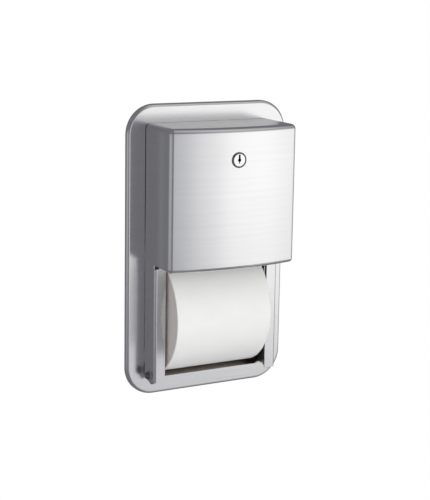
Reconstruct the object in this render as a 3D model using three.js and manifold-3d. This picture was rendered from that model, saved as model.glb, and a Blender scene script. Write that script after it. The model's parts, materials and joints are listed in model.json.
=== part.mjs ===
// Recessed two-roll toilet paper dispenser for a wall opening, all sizes in millimetres.
// X runs across the wall, -Y points out of the wall into the room, +Z is up.
// The origin is the centre of the wall flange, on the finished wall surface.
import * as THREE from 'three';
import { mergeVertices } from 'three/addons/utils/BufferGeometryUtils.js';
import Module from 'manifold-3d';

const wasm = await Module();
wasm.setup();

// Sheet gauges and the running gap left between touching parts.
const SHEET = 1.2;
const CABINET_SHEET = 1;
const SEAT_GAP = 0.2;
const ROUND = 24;

// Wall flange: outer size, corner radius, how far its face stands off the wall.
const FLANGE_HALF_W = 96;
const FLANGE_HALF_H = 159;
const FLANGE_CORNER_R = 32;
const FLANGE_STAND = 6;
const FLANGE_ROLL_R = 3.4;
const OPENING_HALF_W = 76;
const OPENING_HALF_H = 141;
const FLANGE_GAP_W = 73.1;
const FLANGE_GAP_TOP_Z = 137.2;
const STEP_RISE = 2;
const STEP_INNER_X = 65;

// Recessed cabinet behind the flange.
const RECESS_DEPTH = 86;
const CABINET_FRONT_Y = -FLANGE_STAND + SHEET + SEAT_GAP;
const BEND_R = 2.5;
const SIDE_HOLE_R = 3;

// Door: a hood over the reserve roll with two arms reaching down to the hinges.
const DOOR_HALF_W = 75;
const DOOR_BACK_Y = -6.4;
const HOOD_TOP_Z = 139;
const HOOD_BOTTOM_Z = -11.5;
const HOOD_SIDE_DEPTH = 65;
const HOOD_BOW = 9.5;
const HOOD_EDGE_R = 5.5;
const HOOD_TOP_R = 5.5;
const HOOD_HEM_R = 4;
const HOOD_LIP = 9;
const BOW_R = (DOOR_HALF_W ** 2 + HOOD_BOW ** 2) / (2 * HOOD_BOW);
const HOOD_FRONT_Y = -HOOD_SIDE_DEPTH - HOOD_BOW;
const BOW_CENTRE_Y = HOOD_FRONT_Y + BOW_R;
const ARM_FRONT_Y = -31;
const ARM_BOTTOM_Z = -139;
const ARM_RETURN_W = 13;
const ARM_BEND_R = 3;
const ARM_HEEL_R = 11.4;
const RELIEF_R = 1.6;

// Door hinge line.
const HINGE_Y = -18;
const HINGE_Z = -133.5;
const PIN_R = 2.5;
const PIN_HOLE_R = 2.8;
const EAR_R = 10;
const EAR_INNER_X = 71;
const EAR_SHEET = 1.6;

// Cam lock in the hood's front.
const LOCK_Z = 105.2;
const LOCK_HEAD_R = 8.3;
const LOCK_HEAD_T = 1.2;
const BEZEL_R = 7;
const BEZEL_DEPTH = 0.8;
const PLUG_FACE_R = 6.7;
const LOCK_BARREL_R = 7.2;
const LOCK_HOLE_R = 7.5;
const PLUG_R = 5.5;
const BORE_R = 5.8;
const LOCK_BACK_Y = -53;
const CAM_REACH = 20;
const CAM_FRONT_Y = -51.4;
const CAM_T = 1.8;
const STRIKE_HALF_W = 15;

// Paper rolls and the spindles they hang on.
const ROLL_R = 66;
const ROLL_HALF_L = 57;
const CORE_R = 21.5;
const CORE_WALL = 1;
const ROLL_Y = 15;
const LOWER_ROLL_Z = -71.5;
const UPPER_ROLL_Z = 67.5;
const SPINDLE_R = 17.2;
const SPINDLE_RISE = 3;
const SPINDLE_HALF_L = 59.5;
const SPINDLE_PIN_R = 4.75;
const SPINDLE_PIN_END = 67.5;
const SPINDLE_RIBS = 8;

// Track plates carry the spindle ends.
const TRACK_INNER_X = 61;
const TRACK_SHEET = 1.5;
const TRACK_FRONT_Y = -2;
const TRACK_REAR_Y = 42;
const TRACK_HALF_H = 136;
const SLOT_HALF = 5.05;
const SLOT_TOP_Z = 92;
const TAB_H = 10;
const TAB_LENGTH = 14;

// Drop lever under the reserve spindle, with its feeler behind the roll in use.
const LEVER_X = 64.1;
const LEVER_T = 1.8;
const LEVER_Y = 14;
const LEVER_Z = 118;
const FEELER_Y = 66;
const FEELER_Z = -21.3;
const FEELER_R = 3;

// Rivets that hold the ears, the track plates and the strike to the cabinet.
const RIVET_R = 1.6;
const RIVET_HOLE_R = 1.9;
const STRIKE_RIVET_X = 9;
const STRIKE_RIVET_Y = 24;
const EAR_RIVET_Z = HINGE_Z + 1.5;
const EAR_RIVET_YS = [12, 24];
const TAB_RIVET_Y = TRACK_REAR_Y + TAB_LENGTH / 2 + 1.5;
const TAB_RIVET_ZS = [-112, 130];

// ---------------------------------------------------------------- materials

function material(color, roughness, metalness) {
  return new THREE.MeshStandardMaterial({ color, roughness, metalness });
}

const satinSteel = () => material(0xc9cacb, 0.34, 1);
const cabinetSteel = () => material(0xa9abad, 0.5, 1);
const rivetSteel = () => material(0xb9babc, 0.3, 1);
const chrome = () => material(0xdedfe0, 0.14, 1);
const zinc = () => material(0x9c9da0, 0.42, 0.9);
const nylon = () => material(0xe9e7df, 0.55, 0);
const greyPlastic = () => material(0x8f9296, 0.5, 0);
const paper = () => material(0xf3f1ec, 0.95, 0);
const cardboard = () => material(0xa98a63, 0.9, 0);

// ------------------------------------------------------------ solid helpers

function welded(geometry) {
  const bare = geometry.index ? geometry.toNonIndexed() : geometry.clone();
  bare.deleteAttribute('normal');
  bare.deleteAttribute('uv');
  const merged = mergeVertices(bare, 1e-4);
  const kept = [];
  const index = merged.index.array;
  for (let i = 0; i < index.length; i += 3) {
    const [a, b, c] = [index[i], index[i + 1], index[i + 2]];
    if (a !== b && b !== c && a !== c) {
      kept.push(a, b, c);
    }
  }
  merged.setIndex(kept);
  return merged;
}

function signedVolume(positions, index) {
  const a = new THREE.Vector3();
  const b = new THREE.Vector3();
  const c = new THREE.Vector3();
  let total = 0;
  for (let i = 0; i < index.length; i += 3) {
    a.fromArray(positions, 3 * index[i]);
    b.fromArray(positions, 3 * index[i + 1]);
    c.fromArray(positions, 3 * index[i + 2]);
    total += a.dot(b.cross(c)) / 6;
  }
  return total;
}

function solid(geometry) {
  const merged = welded(geometry);
  const positions = merged.getAttribute('position').array;
  const index = Uint32Array.from(merged.index.array);
  if (signedVolume(positions, index) < 0) {
    index.reverse();
  }
  const mesh = new wasm.Mesh({ numProp: 3, vertProperties: Float32Array.from(positions), triVerts: index });
  return new wasm.Manifold(mesh);
}

function union(parts) {
  return parts.reduce((whole, part) => whole.add(part));
}

function without(base, cuts) {
  return cuts.reduce((whole, cut) => whole.subtract(cut), base);
}

function geometryOf(body) {
  const mesh = body.getMesh();
  const geometry = new THREE.BufferGeometry();
  geometry.setAttribute('position', new THREE.BufferAttribute(Float32Array.from(mesh.vertProperties), 3));
  geometry.setIndex(Array.from(mesh.triVerts));
  const flat = geometry.toNonIndexed();
  flat.computeVertexNormals();
  return flat;
}

function box(x0, x1, y0, y1, z0, z1) {
  const geometry = new THREE.BoxGeometry(Math.abs(x1 - x0), y1 - y0, z1 - z0);
  geometry.translate((x0 + x1) / 2, (y0 + y1) / 2, (z0 + z1) / 2);
  return solid(geometry);
}

function cylinderX(r, x0, x1, y, z, segments = ROUND) {
  const geometry = new THREE.CylinderGeometry(r, r, Math.abs(x1 - x0), segments);
  geometry.rotateZ(Math.PI / 2);
  geometry.translate((x0 + x1) / 2, y, z);
  return solid(geometry);
}

function cylinderY(r, y0, y1, x, z, segments = ROUND) {
  const geometry = new THREE.CylinderGeometry(r, r, y1 - y0, segments);
  geometry.translate(x, (y0 + y1) / 2, z);
  return solid(geometry);
}

function cylinderZ(r, z0, z1, x, y, segments = ROUND) {
  const geometry = new THREE.CylinderGeometry(r, r, z1 - z0, segments);
  geometry.rotateX(Math.PI / 2);
  geometry.translate(x, y, (z0 + z1) / 2);
  return solid(geometry);
}

// A shape drawn with (y, z) as its coordinates, given thickness from x0 to x1.
function plateX(shape, x0, x1, segments = 8) {
  const depth = Math.abs(x1 - x0);
  const geometry = new THREE.ExtrudeGeometry(shape, { depth, bevelEnabled: false, curveSegments: segments });
  const toYZ = new THREE.Matrix4().set(0, 0, 1, Math.min(x0, x1), 1, 0, 0, 0, 0, 1, 0, 0, 0, 0, 0, 1);
  geometry.applyMatrix4(toYZ);
  return solid(geometry);
}

// A shape drawn with (x, y) as its coordinates, raised from z0 to z1.
function plateZ(shape, z0, z1, segments = 8) {
  const depth = z1 - z0;
  const geometry = new THREE.ExtrudeGeometry(shape, { depth, bevelEnabled: false, curveSegments: segments });
  geometry.translate(0, 0, z0);
  return solid(geometry);
}

function polygon(points) {
  return new THREE.Shape(points.map(([u, v]) => new THREE.Vector2(u, v)));
}

// A profile of [distance along X, radius] pairs turned about an X axis through (y, z).
function turnedX(profile, y, z, segments = ROUND) {
  const points = profile.map(([x, r]) => new THREE.Vector2(r, x));
  const geometry = new THREE.LatheGeometry(points, segments);
  geometry.rotateZ(-Math.PI / 2);
  geometry.translate(0, y, z);
  return solid(geometry);
}

// A profile of [y, radius] pairs turned about the Y axis through (x, z).
function turnedY(profile, x, z, segments = ROUND) {
  const points = profile.map(([y, r]) => new THREE.Vector2(r, y));
  const geometry = new THREE.LatheGeometry(points, segments);
  geometry.translate(x, 0, z);
  return solid(geometry);
}

// Skins a stack of equal-count convex outlines and closes both ends.
function lofted(rings) {
  const count = rings[0].length;
  const positions = rings.flat().flat();
  const index = [];
  for (let k = 0; k + 1 < rings.length; k += 1) {
    for (let i = 0; i < count; i += 1) {
      const j = (i + 1) % count;
      const low = k * count;
      const high = low + count;
      index.push(low + i, low + j, high + j, low + i, high + j, high + i);
    }
  }
  const last = (rings.length - 1) * count;
  for (let i = 1; i + 1 < count; i += 1) {
    index.push(0, i + 1, i);
    index.push(last, last + i, last + i + 1);
  }
  const geometry = new THREE.BufferGeometry();
  geometry.setAttribute('position', new THREE.Float32BufferAttribute(positions, 3));
  geometry.setIndex(index);
  return solid(geometry);
}

function mirrored(body) {
  return body.mirror([1, 0, 0]);
}

function sided(side, body) {
  return side > 0 ? body : mirrored(body);
}

const group = new THREE.Group();

function addPart(name, body, look) {
  const mesh = new THREE.Mesh(geometryOf(body), look());
  mesh.name = name;
  group.add(mesh);
}

// Adds a part built for the +X side and its mirror image on the -X side.
function addPair(name, body, look) {
  addPart(`right_${name}`, body, look);
  addPart(`left_${name}`, mirrored(body), look);
}

// ------------------------------------------------------------------ cabinet

function roundedRectangleRing(halfW, halfH, r, y) {
  const ring = [];
  const steps = 12;
  const corners = [[1, 1, 0], [-1, 1, 1], [-1, -1, 2], [1, -1, 3]];
  for (const [sx, sz, quarter] of corners) {
    for (let i = 0; i <= steps; i += 1) {
      const angle = (quarter + i / steps) * Math.PI / 2;
      ring.push([sx * (halfW - r) + r * Math.cos(angle), y, sz * (halfH - r) + r * Math.sin(angle)]);
    }
  }
  return ring;
}

// A shallow dish with a rolled front edge, its face at the given depth.
function flangeDish(inset, faceY, rollR, backY) {
  const rings = [];
  const bends = 6;
  for (let i = 0; i <= bends; i += 1) {
    const angle = (i / bends) * Math.PI / 2;
    const pulledIn = inset + rollR * (1 - Math.sin(angle));
    const y = faceY + rollR * (1 - Math.cos(angle));
    const r = FLANGE_CORNER_R - pulledIn;
    rings.push(roundedRectangleRing(FLANGE_HALF_W - pulledIn, FLANGE_HALF_H - pulledIn, r, y));
  }
  const backR = FLANGE_CORNER_R - inset;
  rings.push(roundedRectangleRing(FLANGE_HALF_W - inset, FLANGE_HALF_H - inset, backR, backY));
  return lofted(rings);
}

// The flange's opening keeps a low step in its sill beside each hinge ear.
function wallFlange() {
  const skin = flangeDish(0, -FLANGE_STAND, FLANGE_ROLL_R, 0);
  const pocket = flangeDish(SHEET, -FLANGE_STAND + SHEET, FLANGE_ROLL_R - SHEET, 1);
  const opening = box(-FLANGE_GAP_W, FLANGE_GAP_W, -10, 10, -OPENING_HALF_H, FLANGE_GAP_TOP_Z);
  const sill = -OPENING_HALF_H;
  const steps = [1, -1].map((side) => sided(side, plateX(polygon([
    [-FLANGE_STAND, sill - 1], [-FLANGE_STAND + SHEET, sill - 1],
    [-FLANGE_STAND + SHEET, sill + STEP_RISE], [-FLANGE_STAND, sill + STEP_RISE],
  ]), STEP_INNER_X, EAR_INNER_X - 0.5)));
  return union([without(skin, [pocket, opening]), ...steps]);
}

function strikeRivetHoles() {
  return [-1, 1].map((side) => cylinderZ(RIVET_HOLE_R, 130, 150, side * STRIKE_RIVET_X, STRIKE_RIVET_Y, 16));
}

// Top, back and floor bent from one strip, open to the front and closed by the side panels.
function cabinetWrap() {
  const t = CABINET_SHEET;
  const outline = (grow) => {
    const backY = RECESS_DEPTH + grow;
    const z = OPENING_HALF_H + grow;
    const r = BEND_R + grow;
    return { backY, z, r };
  };
  const inner = outline(0);
  const outer = outline(t);
  const shape = new THREE.Shape();
  shape.moveTo(CABINET_FRONT_Y, outer.z);
  shape.absarc(outer.backY - outer.r, outer.z - outer.r, outer.r, Math.PI / 2, 0, true);
  shape.absarc(outer.backY - outer.r, -outer.z + outer.r, outer.r, 0, -Math.PI / 2, true);
  shape.lineTo(CABINET_FRONT_Y, -outer.z);
  shape.lineTo(CABINET_FRONT_Y, -inner.z);
  shape.absarc(inner.backY - inner.r, -inner.z + inner.r, inner.r, -Math.PI / 2, 0, false);
  shape.absarc(inner.backY - inner.r, inner.z - inner.r, inner.r, 0, Math.PI / 2, false);
  shape.lineTo(CABINET_FRONT_Y, inner.z);
  const half = OPENING_HALF_W - SEAT_GAP;
  const strip = plateX(shape, -half, half, 5);
  return without(strip, strikeRivetHoles());
}

function cabinetSide() {
  const half = OPENING_HALF_H + CABINET_SHEET;
  const inner = OPENING_HALF_W;
  const outer = inner + CABINET_SHEET;
  const panel = box(inner, outer, CABINET_FRONT_Y, RECESS_DEPTH + CABINET_SHEET, -half, half);
  const cuts = [];
  for (const z of [-90, 90]) {
    for (const y of [22, 66]) {
      cuts.push(cylinderX(SIDE_HOLE_R, inner - 1, outer + 1, y, z, 16));
    }
  }
  for (const y of EAR_RIVET_YS) {
    cuts.push(cylinderX(RIVET_HOLE_R, inner - 1, outer + 1, y, EAR_RIVET_Z, 16));
  }
  for (const z of TAB_RIVET_ZS) {
    cuts.push(cylinderX(RIVET_HOLE_R, inner - 1, outer + 1, TAB_RIVET_Y, z, 16));
  }
  return without(panel, cuts);
}

// A blind rivet along X through two sheets: domed head inside, small set head outside.
function rivetX(headX, tailX, y, z) {
  const profile = [
    [headX - 1.2, 0], [headX - 1, 1.6], [headX - 0.5, 2.6], [headX, 3],
    [headX, RIVET_R], [tailX, RIVET_R], [tailX, 2.3], [tailX + 0.9, 1.9], [tailX + 0.9, 0],
  ];
  return turnedX(profile, y, z, 16);
}

function rivetZ(x, y, headZ, tailZ) {
  const profile = [
    [headZ - 1.2, 0], [headZ - 1, 1.6], [headZ - 0.5, 2.6], [headZ, 3],
    [headZ, RIVET_R], [tailZ, RIVET_R], [tailZ, 2.3], [tailZ + 0.9, 1.9], [tailZ + 0.9, 0],
  ];
  const points = profile.map(([z, r]) => new THREE.Vector2(r, z));
  const geometry = new THREE.LatheGeometry(points, 16);
  geometry.rotateX(Math.PI / 2);
  geometry.translate(x, y, 0);
  return solid(geometry);
}

// Joggled hinge ear: its rear lies on the side panel, its nose carries the door pin.
function hingeEar() {
  const wallX = OPENING_HALF_W - SEAT_GAP;
  const noseTop = HINGE_Z + EAR_R;
  const neckBottom = HINGE_Z - 6;
  const shape = new THREE.Shape();
  shape.moveTo(HINGE_Y, noseTop);
  shape.absarc(HINGE_Y, HINGE_Z, EAR_R, Math.PI / 2, Math.PI * 1.56, false);
  shape.lineTo(CABINET_FRONT_Y - 3, neckBottom);
  shape.lineTo(1, neckBottom);
  shape.lineTo(1, noseTop);
  const nose = plateX(shape, EAR_INNER_X, EAR_INNER_X + EAR_SHEET, 8);
  const joggle = plateZ(polygon([
    [EAR_INNER_X, 0.9], [EAR_INNER_X + EAR_SHEET, 0.9],
    [wallX, 5], [wallX, 31], [wallX - EAR_SHEET, 31], [wallX - EAR_SHEET, 5.6], [EAR_INNER_X, 1.5],
  ]), neckBottom, noseTop);
  const cuts = [cylinderX(PIN_HOLE_R, EAR_INNER_X - 1, EAR_INNER_X + EAR_SHEET + 1, HINGE_Y, HINGE_Z)];
  for (const y of EAR_RIVET_YS) {
    cuts.push(cylinderX(RIVET_HOLE_R, wallX - 3, wallX + 1, y, EAR_RIVET_Z, 16));
  }
  return without(nose.add(joggle), cuts);
}

function doorPin() {
  const tail = EAR_INNER_X - 0.2;
  const head = DOOR_HALF_W + 1.3;
  return turnedX([
    [tail - 1.4, 0], [tail - 1.4, 3.2], [tail - 0.8, 3.9], [tail, 3.9], [tail, PIN_R],
    [head, PIN_R], [head, 4.3], [head + 1.5, 3.8], [head + 2.3, 2.7], [head + 2.5, 0],
  ], HINGE_Y, HINGE_Z);
}

function washer(x0, x1, outerR) {
  return turnedX([
    [x0, PIN_HOLE_R], [x0, outerR], [x1, outerR], [x1, PIN_HOLE_R], [x0, PIN_HOLE_R],
  ], HINGE_Y, HINGE_Z);
}

// Strike bracket: riveted under the cabinet top, reaching forward over the reserve roll.
function lockStrike() {
  const seat = OPENING_HALF_H - SEAT_GAP;
  const lipFront = CAM_FRONT_Y - 3.1;
  const lipBottom = LOCK_Z + 10;
  const profile = polygon([
    [38, seat], [38, seat - 1.3], [3, seat - 1.3], [1, 134.6], [-8, 134.6],
    [lipFront + 1.5, 130.6], [lipFront + 1.5, lipBottom], [lipFront, lipBottom], [lipFront, 132],
    [-8, 136], [-0.6, 136], [0.9, seat],
  ]);
  const strip = plateX(profile, -STRIKE_HALF_W, STRIKE_HALF_W);
  return without(strip, strikeRivetHoles());
}

// ------------------------------------------------------------- track plates

function trackPlate() {
  const x0 = TRACK_INNER_X;
  const x1 = TRACK_INNER_X + TRACK_SHEET;
  const wallX = OPENING_HALF_W - SEAT_GAP;
  const plate = box(x0, x1, TRACK_FRONT_Y, TRACK_REAR_Y, -TRACK_HALF_H, TRACK_HALF_H);
  const low = LOWER_ROLL_Z + SPINDLE_RISE;
  const channel = box(x0 - 1, x1 + 1, ROLL_Y - SLOT_HALF, ROLL_Y + SLOT_HALF, low, SLOT_TOP_Z);
  const foot = cylinderX(SLOT_HALF, x0 - 1, x1 + 1, ROLL_Y, low, 32);
  const crown = cylinderX(SLOT_HALF, x0 - 1, x1 + 1, ROLL_Y, SLOT_TOP_Z, 32);
  const rise = 8;
  const mouth = plateX(polygon([
    [ROLL_Y, SLOT_TOP_Z - SLOT_HALF], [ROLL_Y, SLOT_TOP_Z + SLOT_HALF],
    [TRACK_FRONT_Y - 2, SLOT_TOP_Z + SLOT_HALF + rise],
    [TRACK_FRONT_Y - 2, SLOT_TOP_Z - SLOT_HALF + rise - 2],
  ]), x0 - 1, x1 + 1);
  const pivotHole = cylinderX(RIVET_HOLE_R + 1, x0 - 1, x1 + 1, LEVER_Y, LEVER_Z);
  const tabs = [];
  const cuts = [channel, foot, crown, mouth, pivotHole];
  for (const z of TAB_RIVET_ZS) {
    tabs.push(box(x0, wallX, TRACK_REAR_Y - TRACK_SHEET, TRACK_REAR_Y, z - TAB_H / 2, z + TAB_H / 2));
    const tabEnd = TRACK_REAR_Y + TAB_LENGTH;
    tabs.push(box(wallX - TRACK_SHEET, wallX, TRACK_REAR_Y - 0.5, tabEnd, z - TAB_H / 2, z + TAB_H / 2));
    cuts.push(cylinderX(RIVET_HOLE_R, wallX - 3, wallX + 1, TAB_RIVET_Y, z, 16));
  }
  return without(union([plate, ...tabs]), cuts);
}

// --------------------------------------------------------------- drop lever

// Two prongs hang from one pivot: the front one hooks under the spindle end,
// the rear one reaches down behind the roll in use and carries the feeler rod.
function dropLever() {
  const x0 = LEVER_X;
  const x1 = LEVER_X + LEVER_T;
  const hookR = LEVER_Z - (UPPER_ROLL_Z + SPINDLE_RISE - SPINDLE_PIN_R - 0.35);
  const shape = new THREE.Shape();
  shape.moveTo(-6, LEVER_Z - 3);
  shape.lineTo(-7, LEVER_Z - hookR - 1);
  shape.lineTo(-2, LEVER_Z - hookR - 8);
  shape.lineTo(27, LEVER_Z - hookR - 5);
  const startAngle = -Math.PI / 2 + 0.26;
  const endAngle = -Math.PI / 2 - 0.2;
  shape.lineTo(LEVER_Y + hookR * Math.cos(startAngle), LEVER_Z + hookR * Math.sin(startAngle));
  shape.absarc(LEVER_Y, LEVER_Z, hookR, startAngle, endAngle, true);
  shape.lineTo(4, LEVER_Z - 14);
  shape.lineTo(14, LEVER_Z - 10);
  shape.lineTo(50, LEVER_Z - 14);
  shape.lineTo(FEELER_Y - 5, FEELER_Z + 8);
  shape.absarc(FEELER_Y, FEELER_Z, 5.5, Math.PI * 0.95, Math.PI * 2.05, false);
  shape.lineTo(61, LEVER_Z - 12);
  shape.lineTo(54, LEVER_Z - 4);
  shape.lineTo(LEVER_Y + 6, LEVER_Z + 5);
  shape.lineTo(LEVER_Y - 6, LEVER_Z + 6);
  const blank = plateX(shape, x0, x1, 8);
  const pivot = cylinderX(RIVET_HOLE_R + 1, x0 - 1, x1 + 1, LEVER_Y, LEVER_Z, 32);
  const rodHole = cylinderX(FEELER_R - 0.7, x0 - 1, x1 + 1, FEELER_Y, FEELER_Z);
  return without(blank, [pivot, rodHole]);
}

function feelerRod() {
  const neck = FEELER_R - 1;
  const shoulder = LEVER_X - 0.2;
  const end = LEVER_X + LEVER_T + 0.2;
  return turnedX([
    [-end - 0.9, 0], [-end - 0.9, neck + 0.9], [-end, neck + 0.9], [-end, neck],
    [-shoulder, neck], [-shoulder, FEELER_R], [shoulder, FEELER_R], [shoulder, neck],
    [end, neck], [end, neck + 0.9], [end + 0.9, neck + 0.9], [end + 0.9, 0],
  ], FEELER_Y, FEELER_Z);
}

function leverPin() {
  const shank = RIVET_R + 1;
  const inside = TRACK_INNER_X - 0.2;
  const outside = LEVER_X + LEVER_T + 0.3;
  return turnedX([
    [inside - 1.1, 0], [inside - 1.1, 3.4], [inside, 3.9], [inside, shank],
    [outside, shank], [outside, 3.9], [outside + 1.2, 3.6], [outside + 1.2, 0],
  ], LEVER_Y, LEVER_Z);
}

// --------------------------------------------------------------------- door

// Plan outline of the hood at one height, pulled in by an inset from its outer face.
function hoodRing(inset, z) {
  const half = DOOR_HALF_W - inset;
  const bow = BOW_R - inset;
  const r = Math.max(HOOD_EDGE_R - inset, 0.4);
  const cx = half - r;
  const cy = BOW_CENTRE_Y - Math.sqrt((bow - r) ** 2 - cx ** 2);
  const lean = Math.atan2(cx, BOW_CENTRE_Y - cy);
  const behind = 24;
  const ring = [[half, behind, z]];
  const cornerSteps = 7;
  for (let i = 0; i <= cornerSteps; i += 1) {
    const angle = (i / cornerSteps) * (Math.PI / 2 - lean);
    ring.push([cx + r * Math.cos(angle), cy - r * Math.sin(angle), z]);
  }
  const bowSteps = 24;
  for (let i = 1; i < bowSteps; i += 1) {
    const angle = lean * (1 - (2 * i) / bowSteps);
    ring.push([bow * Math.sin(angle), BOW_CENTRE_Y - bow * Math.cos(angle), z]);
  }
  for (let i = cornerSteps; i >= 0; i -= 1) {
    const angle = (i / cornerSteps) * (Math.PI / 2 - lean);
    ring.push([-cx - r * Math.cos(angle), cy - r * Math.sin(angle), z]);
  }
  ring.push([-half, behind, z]);
  return ring;
}

// The hood's rounded block: hem radius below, edge radius on top.
function hoodBlock(inset) {
  const rings = [];
  const hemR = HOOD_HEM_R - inset;
  const topR = HOOD_TOP_R - inset;
  const bends = 6;
  for (let i = 0; i <= bends; i += 1) {
    const angle = (i / bends) * Math.PI / 2;
    const z = HOOD_BOTTOM_Z + inset + hemR * (1 - Math.cos(angle));
    rings.push(hoodRing(inset + hemR * (1 - Math.sin(angle)), z));
  }
  for (let i = 0; i <= bends; i += 1) {
    const angle = (i / bends) * Math.PI / 2;
    const z = HOOD_TOP_Z - inset - topR * (1 - Math.sin(angle));
    rings.push(hoodRing(inset + topR * (1 - Math.cos(angle)), z));
  }
  return lofted(rings);
}

// One arm: a side plate with its front edge bent inward. Its heel is rounded about the hinge,
// so that it clears the flange as the door swings.
function doorArm() {
  const x = DOOR_HALF_W;
  const t = SHEET;
  const r = ARM_BEND_R;
  const shape = new THREE.Shape();
  shape.moveTo(x - ARM_RETURN_W, ARM_FRONT_Y + t);
  shape.lineTo(x - ARM_RETURN_W, ARM_FRONT_Y);
  shape.absarc(x - r, ARM_FRONT_Y + r, r, -Math.PI / 2, 0, false);
  shape.lineTo(x, DOOR_BACK_Y);
  shape.lineTo(x - t, DOOR_BACK_Y);
  shape.absarc(x - r, ARM_FRONT_Y + r, r - t, 0, -Math.PI / 2, true);
  const channel = plateZ(shape, ARM_BOTTOM_Z, HOOD_BOTTOM_Z - 0.5, 5);
  const web = box(x - t, x, ARM_FRONT_Y + r, DOOR_BACK_Y, HOOD_BOTTOM_Z - 4, HOOD_BOTTOM_Z + 8);
  const pinHole = cylinderX(PIN_HOLE_R, x - 5, x + 5, HINGE_Y, HINGE_Z, 32);
  const relief = cylinderX(RELIEF_R, x - 5, x + 5, ARM_FRONT_Y + 1, HOOD_BOTTOM_Z - 1, 12);
  const corner = box(x - 5, x + 5, HINGE_Y, DOOR_BACK_Y + 5, ARM_BOTTOM_Z - 1, HINGE_Z);
  const heel = corner.subtract(cylinderX(ARM_HEEL_R, x - 6, x + 6, HINGE_Y, HINGE_Z, 48));
  return without(channel.add(web), [pinHole, relief, heel]);
}

function doorShell() {
  const t = SHEET;
  const hollow = hoodBlock(t);
  const lipRings = [HOOD_BOTTOM_Z - 2, HOOD_BOTTOM_Z + 4].map((z) => hoodRing(HOOD_LIP, z));
  const lipCut = lofted(lipRings);
  const armSide = DOOR_HALF_W - t;
  const throat = box(-armSide, armSide, ARM_FRONT_Y + t, 26, HOOD_BOTTOM_Z - 2, HOOD_BOTTOM_Z + 7);
  const hood = without(hoodBlock(0), [hollow, lipCut, throat]);
  const arms = [1, -1].map((side) => sided(side, doorArm()));
  const back = box(-90, 90, DOOR_BACK_Y, 40, -150, 150);
  const lockHole = cylinderY(LOCK_HOLE_R, HOOD_FRONT_Y - 5, HOOD_FRONT_Y + 8, 0, LOCK_Z, 48);
  return without(union([hood, ...arms]), [back, lockHole]);
}

// --------------------------------------------------------------------- lock

function lockBody() {
  const face = HOOD_FRONT_Y - LOCK_HEAD_T;
  const seat = HOOD_FRONT_Y - 0.1;
  return turnedY([
    [face, BEZEL_R], [face, LOCK_HEAD_R - 0.5], [face + 0.4, LOCK_HEAD_R], [seat, LOCK_HEAD_R],
    [seat, LOCK_BARREL_R], [LOCK_BACK_Y, LOCK_BARREL_R], [LOCK_BACK_Y, BORE_R],
    [face + BEZEL_DEPTH, BORE_R], [face + BEZEL_DEPTH, BEZEL_R], [face, BEZEL_R],
  ], 0, LOCK_Z, 48);
}

function lockNut() {
  const y0 = HOOD_FRONT_Y + SHEET + 0.5;
  const hexagon = cylinderY(12, y0, y0 + 3, 0, LOCK_Z, 6);
  return without(hexagon, [cylinderY(LOCK_BARREL_R + 0.2, y0 - 1, y0 + 4, 0, LOCK_Z, 32)]);
}

// Turning plug: keyway in its face, a stub at the back for the cam and its screw.
function lockPlug() {
  const face = HOOD_FRONT_Y - LOCK_HEAD_T + 0.15;
  const discBack = HOOD_FRONT_Y - LOCK_HEAD_T + BEZEL_DEPTH - 0.2;
  const stubEnd = CAM_FRONT_Y + CAM_T + 0.2;
  const body = turnedY([
    [face, 0], [face, PLUG_FACE_R - 0.3], [face + 0.3, PLUG_FACE_R],
    [discBack, PLUG_FACE_R], [discBack, PLUG_R],
    [CAM_FRONT_Y - 0.2, PLUG_R], [CAM_FRONT_Y - 0.2, 3.2], [stubEnd, 3.2], [stubEnd, 0],
  ], 0, LOCK_Z, 48);
  const slot = box(-1.1, 1.1, face - 1, face + 8, LOCK_Z, LOCK_Z + 5.8);
  const tail = box(-0.6, 0.6, face - 1, face + 6, LOCK_Z - 3.8, LOCK_Z);
  const bulge = cylinderY(1.9, face - 1, face + 8, 0, LOCK_Z, 24);
  const thread = cylinderY(1.8, stubEnd - 7, stubEnd + 1, 0, LOCK_Z, 16);
  return without(body, [slot, tail, bulge, thread]);
}

// Cam tongue, lying across at rest; a quarter turn raises it behind the strike.
function lockCam() {
  const y0 = CAM_FRONT_Y;
  const hub = cylinderY(6, y0, y0 + CAM_T, 0, LOCK_Z);
  const tongue = box(0, CAM_REACH - 4, y0, y0 + CAM_T, LOCK_Z - 4.5, LOCK_Z + 4.5);
  const tip = cylinderY(4.5, y0, y0 + CAM_T, CAM_REACH - 4.5, LOCK_Z);
  const hole = cylinderY(3.5, y0 - 1, y0 + CAM_T + 1, 0, LOCK_Z);
  return without(union([hub, tongue, tip]), [hole]);
}

function camScrew() {
  const seat = CAM_FRONT_Y + CAM_T + 0.4;
  return turnedY([
    [seat - 6, 0], [seat - 6, 1.5], [seat, 1.5], [seat, 4.4],
    [seat + 1.6, 4], [seat + 2.4, 2.4], [seat + 2.4, 0],
  ], 0, LOCK_Z, 16);
}

// ---------------------------------------------------------- rolls, spindles

// Moulded spindle: a centre tube, lengthwise ribs, three discs and two end pins.
function spindle(z) {
  const parts = [
    cylinderX(SPINDLE_PIN_R, -SPINDLE_PIN_END, SPINDLE_PIN_END, ROLL_Y, z, 32),
    cylinderX(8, -SPINDLE_HALF_L, SPINDLE_HALF_L, ROLL_Y, z),
  ];
  for (const x of [-SPINDLE_HALF_L + 1.5, 0, SPINDLE_HALF_L - 1.5]) {
    parts.push(cylinderX(SPINDLE_R, x - 1.5, x + 1.5, ROLL_Y, z, 32));
  }
  const rib = new THREE.BoxGeometry(2 * SPINDLE_HALF_L - 2, 2 * SPINDLE_R - 0.4, 2);
  for (let i = 0; i < SPINDLE_RIBS / 2; i += 1) {
    const turned = rib.clone();
    turned.rotateX((i * 2 * Math.PI) / SPINDLE_RIBS);
    turned.translate(0, ROLL_Y, z);
    parts.push(solid(turned));
  }
  return union(parts);
}

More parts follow.
